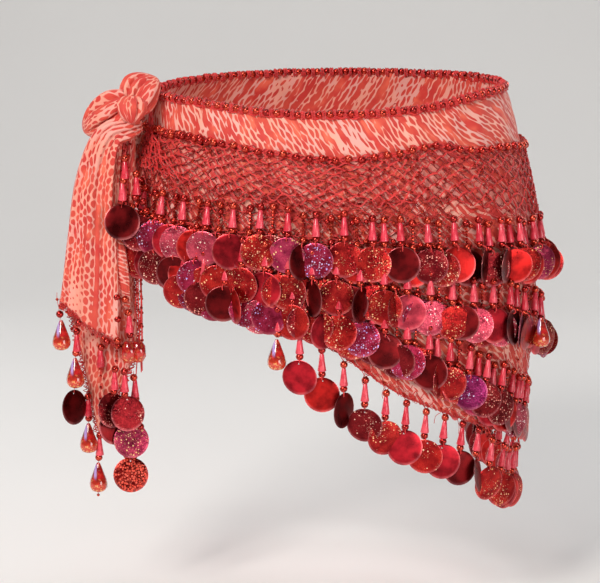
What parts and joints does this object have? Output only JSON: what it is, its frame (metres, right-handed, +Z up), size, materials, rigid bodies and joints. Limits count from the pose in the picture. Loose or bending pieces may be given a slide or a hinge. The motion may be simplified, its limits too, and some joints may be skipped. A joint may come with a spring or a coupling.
{
  "type": "belly dance hip scarf",
  "caption": "Triangular printed chiffon hip scarf, worn and tied at one hip, with a crocheted net and tiers of beaded paillette fringe.",
  "frame": {"origin": "centre of the waist opening, level with the scarf's top edge, where the wearer's hips hold it", "axes": "+Z up, -Y the wearer's front, +X the wearer's left side, where the triangle's point hangs; the knot is on the -X side"},
  "size_m": [0.4255, 0.2667, 0.388],
  "materials": {
    "chiffon": "soft chiffon, coral red with an off-white line print",
    "crochet_thread": "red crochet thread with small beads",
    "metallic_beads": "pearly metallic red",
    "cone_beads": "satin pink-coral",
    "paillettes": "holographic glitter film and plain satin, red to wine and magenta",
    "crystal_drops": "faceted clear red with a lilac flash"
  },
  "bodies": {
    "root": {"wrap_panel": "chiffon", "front_gather": "chiffon", "rear_gather": "chiffon", "knot_upper": "chiffon", "knot_left": "chiffon", "knot_centre": "chiffon", "knot_throat": "chiffon", "front_tail": "chiffon", "rear_tail": "chiffon", "net_panel": "crochet_thread", "hem_border": "crochet_thread", "front_tail_border": "crochet_thread", "rear_tail_border": "crochet_thread", "top_bead_edge": "metallic_beads", "net_bead_row": "metallic_beads", "fringe_tier_1": "paillettes", "fringe_tier_2": "paillettes", "fringe_tier_3": "paillettes", "fringe_tier_4": "paillettes", "front_tail_strands": "paillettes", "side_strands": "paillettes", "front_tail_drops": "crystal_drops", "rear_tail_drops": "crystal_drops"}
  },
  "joints": []
}
